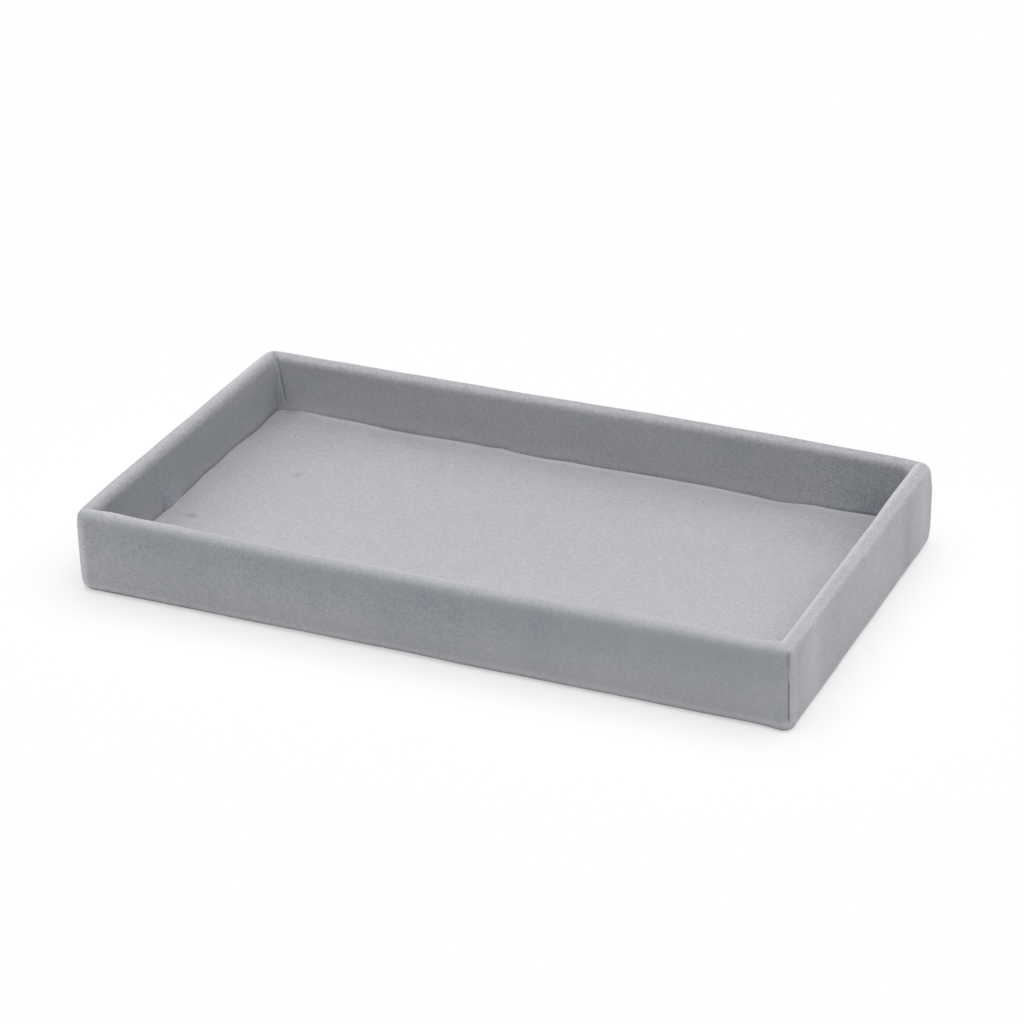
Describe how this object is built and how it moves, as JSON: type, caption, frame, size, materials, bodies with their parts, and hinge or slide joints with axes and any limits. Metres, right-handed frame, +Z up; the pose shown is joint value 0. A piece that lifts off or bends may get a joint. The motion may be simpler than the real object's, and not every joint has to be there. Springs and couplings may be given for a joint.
{
  "type": "jewelry tray",
  "caption": "Shallow open rectangular tray with low round-rimmed walls and a flat padded floor, covered in pale grey velvet, for laying out rings, chains and watches.",
  "frame": {"origin": "middle of the surface the tray stands on", "axes": "+X along the long walls to the right, +Y from the front wall to the rear wall, +Z up"},
  "size_m": [0.21, 0.125, 0.025],
  "materials": {
    "wall_velvet": "short-pile grey velvet",
    "floor_velvet": "short-pile grey velvet",
    "board": "bare fibreboard",
    "card": "grey board",
    "pin_steel": "bright drawn wire",
    "liner": "thin grey flocked sheet"
  },
  "bodies": {
    "root": {"base_board": "board", "front_rail": "board", "rear_rail": "board", "left_rail": "board", "right_rail": "board", "corner_pins": "pin_steel", "base_pins": "pin_steel", "front_velvet": "wall_velvet", "rear_velvet": "wall_velvet", "left_velvet": "wall_velvet", "right_velvet": "wall_velvet", "pad_card": "card", "pad_velvet": "floor_velvet", "bottom_liner": "liner"}
  },
  "joints": []
}
